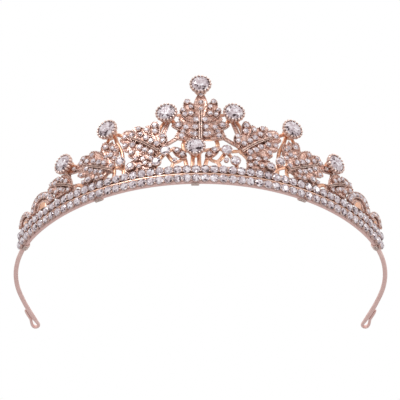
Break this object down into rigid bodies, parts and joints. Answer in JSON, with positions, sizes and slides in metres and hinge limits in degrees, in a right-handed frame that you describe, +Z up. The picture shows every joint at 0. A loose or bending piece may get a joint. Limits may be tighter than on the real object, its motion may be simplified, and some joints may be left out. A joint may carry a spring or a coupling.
{
  "type": "bridal tiara",
  "caption": "Bridal tiara: a springy rose-gold hoop with curled ends that carries an openwork crest of leaves, toothed crowns, arches and clear crystals.",
  "frame": {"origin": "centre of the tiara's footprint, on the plane that its clips stand on", "axes": "+X across the head from the left end to the right end as seen from the front, +Y from the crest towards the open ends, +Z up the crest"},
  "size_m": [0.1502, 0.1097, 0.0489],
  "materials": {
    "rose_gold": "polished rose-gold plating on a cast alloy",
    "pale_rose_band": "satin pale rose-gold plating on a spring bar",
    "crystal": "clear faceted, foil-backed",
    "crystal_in_cups": "clear faceted crystals in rose-gold cups"
  },
  "bodies": {
    "crest": {"centre_bezel": "rose_gold", "centre_clip": "pale_rose_band", "centre_crystal": "crystal", "centre_leaf": "rose_gold", "crest_frame": "rose_gold", "divider_rail": "rose_gold", "headband_bar": "pale_rose_band", "left_bud_collet": "crystal_in_cups", "left_bud_leaf": "rose_gold", "left_end_arch": "rose_gold", "left_end_clip": "pale_rose_band", "left_fan_leaf": "rose_gold", "left_foot_collet": "crystal_in_cups", "left_front_clip": "pale_rose_band", "left_great_arch": "rose_gold", "left_great_leaf": "rose_gold", "left_hanging_collet": "crystal_in_cups", "left_inner_crown": "rose_gold", "left_inner_crystal": "crystal", "left_marquise": "rose_gold", "left_middle_crown": "rose_gold", "left_middle_crystal": "crystal", "left_outer_crown": "rose_gold", "left_outer_crystal": "crystal", "left_row_collet": "crystal_in_cups", "left_second_great_leaf": "rose_gold", "left_second_upright_leaf": "rose_gold", "left_seed_collet": "crystal_in_cups", "left_upright_leaf": "rose_gold", "left_wing_leaf": "rose_gold", "lower_crystal_row": "crystal_in_cups", "right_bud_collet": "crystal_in_cups", "right_bud_leaf": "rose_gold", "right_end_arch": "rose_gold", "right_end_clip": "pale_rose_band", "right_fan_leaf": "rose_gold", "right_foot_collet": "crystal_in_cups", "right_front_clip": "pale_rose_band", "right_great_arch": "rose_gold", "right_great_leaf": "rose_gold", "right_hanging_collet": "crystal_in_cups", "right_inner_crown": "rose_gold", "right_inner_crystal": "crystal", "right_marquise": "rose_gold", "right_middle_crown": "rose_gold", "right_middle_crystal": "crystal", "right_outer_crown": "rose_gold", "right_outer_crystal": "crystal", "right_row_collet": "crystal_in_cups", "right_second_great_leaf": "rose_gold", "right_second_upright_leaf": "rose_gold", "right_seed_collet": "crystal_in_cups", "right_upright_leaf": "rose_gold", "right_wing_leaf": "rose_gold", "top_crown": "rose_gold", "top_crystal": "crystal", "upper_crystal_row": "crystal_in_cups"},
    "left_leg": {"left_leg": "pale_rose_band"},
    "right_leg": {"right_leg": "pale_rose_band"}
  },
  "joints": [
    {"name": "left_leg_flex", "type": "hinge", "parent": "crest", "child": "left_leg", "pos_m": [-0.07122, -0.00032, 0.0015], "axis": [0, 0, 1], "range_deg": [-3, 10], "stiffness_Nm_per_rad": 0.4},
    {"name": "right_leg_flex", "type": "hinge", "parent": "crest", "child": "right_leg", "pos_m": [0.07122, -0.00032, 0.0015], "axis": [0, 0, -1], "range_deg": [-3, 10], "stiffness_Nm_per_rad": 0.4}
  ]
}
